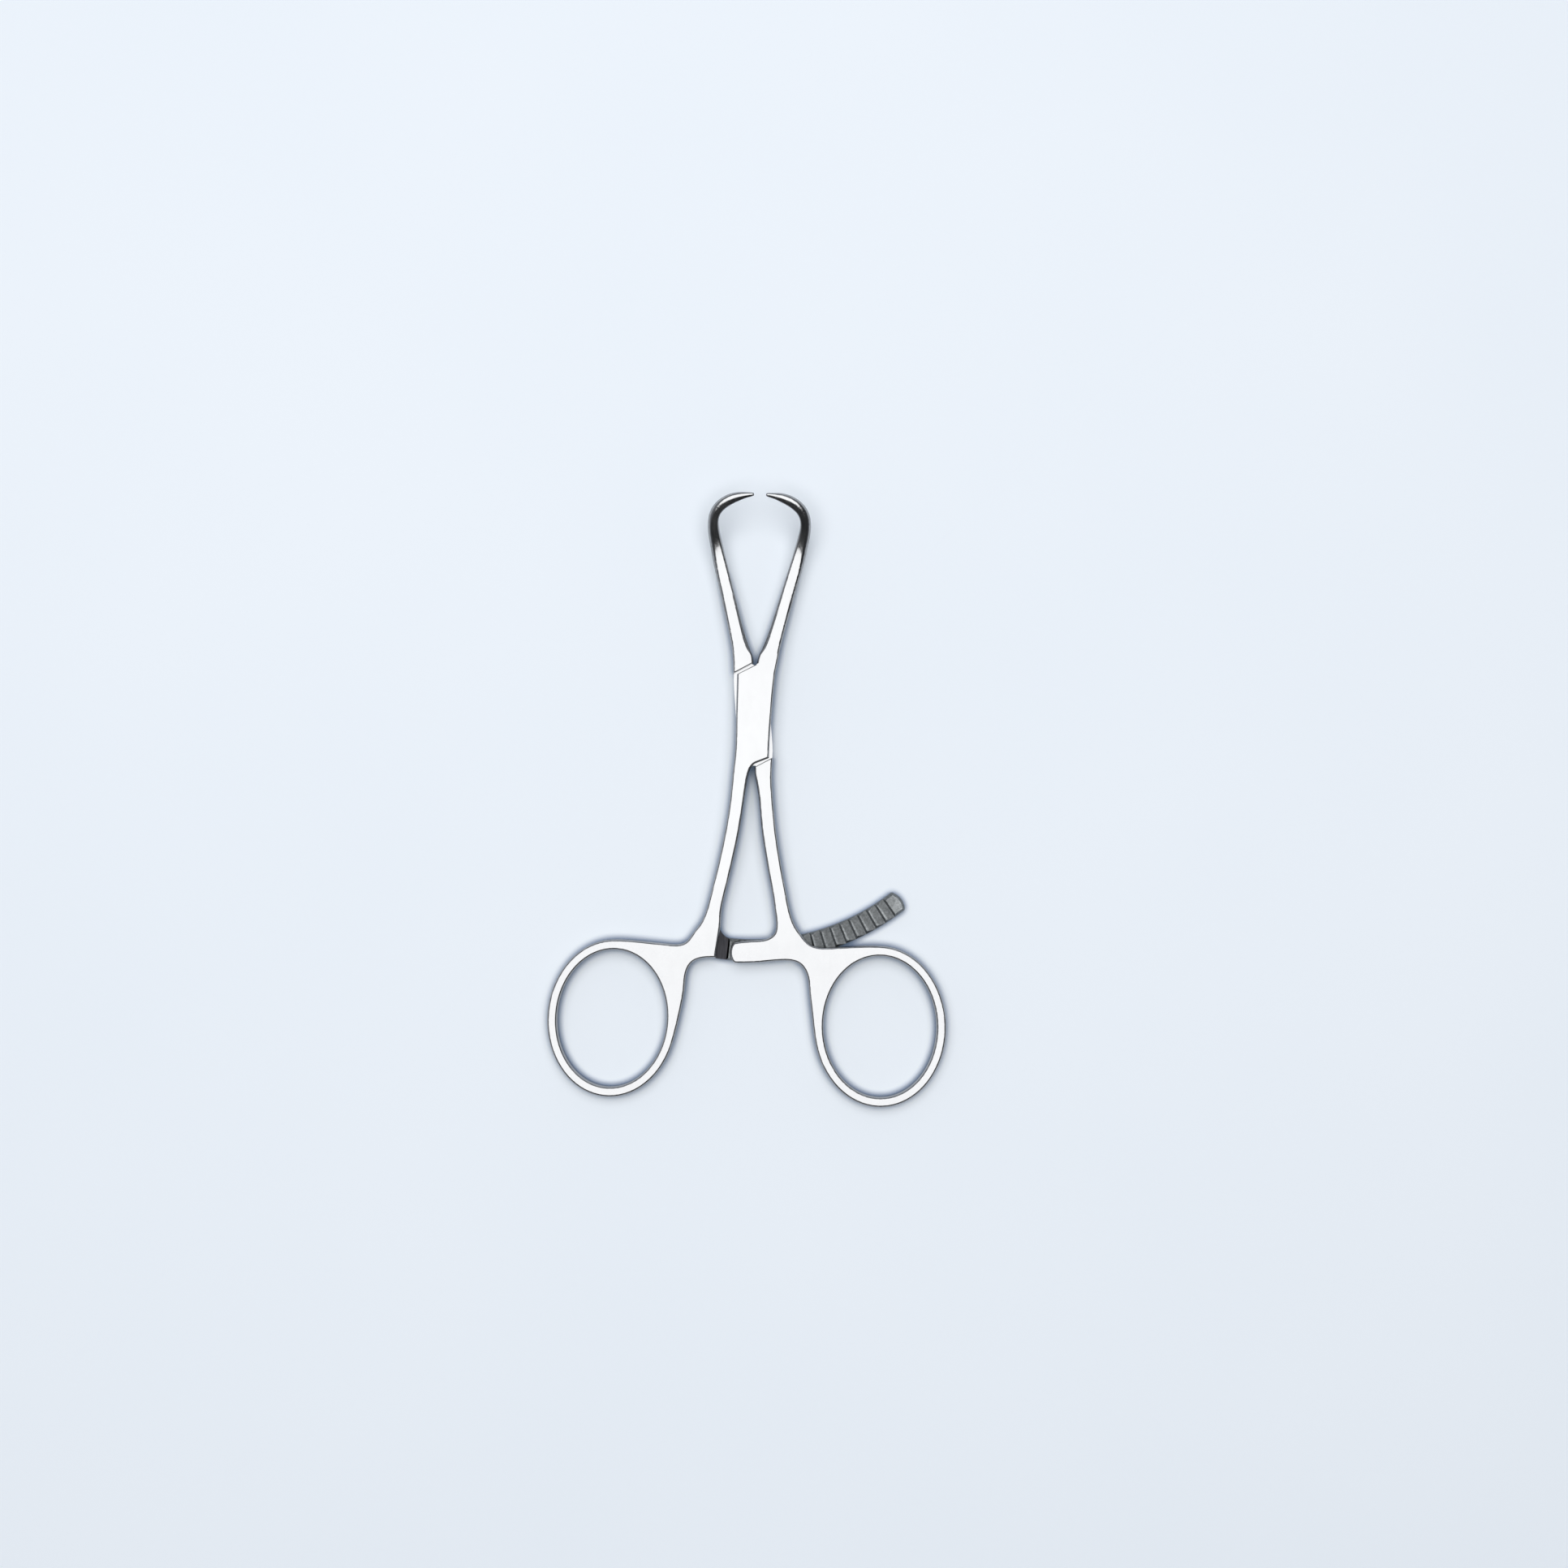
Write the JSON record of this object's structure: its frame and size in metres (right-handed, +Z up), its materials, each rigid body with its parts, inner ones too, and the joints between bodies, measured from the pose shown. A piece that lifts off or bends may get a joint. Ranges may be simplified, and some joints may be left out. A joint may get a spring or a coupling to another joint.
{
  "type": "bone reduction forceps",
  "caption": "Small pointed reduction forceps: hooked jaws, a box lock, two shanks with finger rings, and a long curved ratchet bar that runs under a catch.",
  "frame": {"origin": "on the pivot axis, in the plane of the flat back of the lock, on which the forceps rest", "axes": "+Y from the lock towards the jaw tips, +Z up out of the back along the pivot axis, +X towards the end of the ratchet bar"},
  "size_m": [0.0845, 0.1285, 0.0093],
  "materials": {
    "steel": "satin",
    "pin_steel": "satin"
  },
  "bodies": {
    "box_side": {"box_arm": "steel", "pivot_pin": "pin_steel"},
    "through_side": {"through_arm": "steel"}
  },
  "joints": [
    {"name": "lock_pivot", "type": "hinge", "parent": "box_side", "child": "through_side", "pos_m": [0, 0, 0.0025], "axis": [0, 0, 1], "range_deg": [-2.8, 45]}
  ]
}
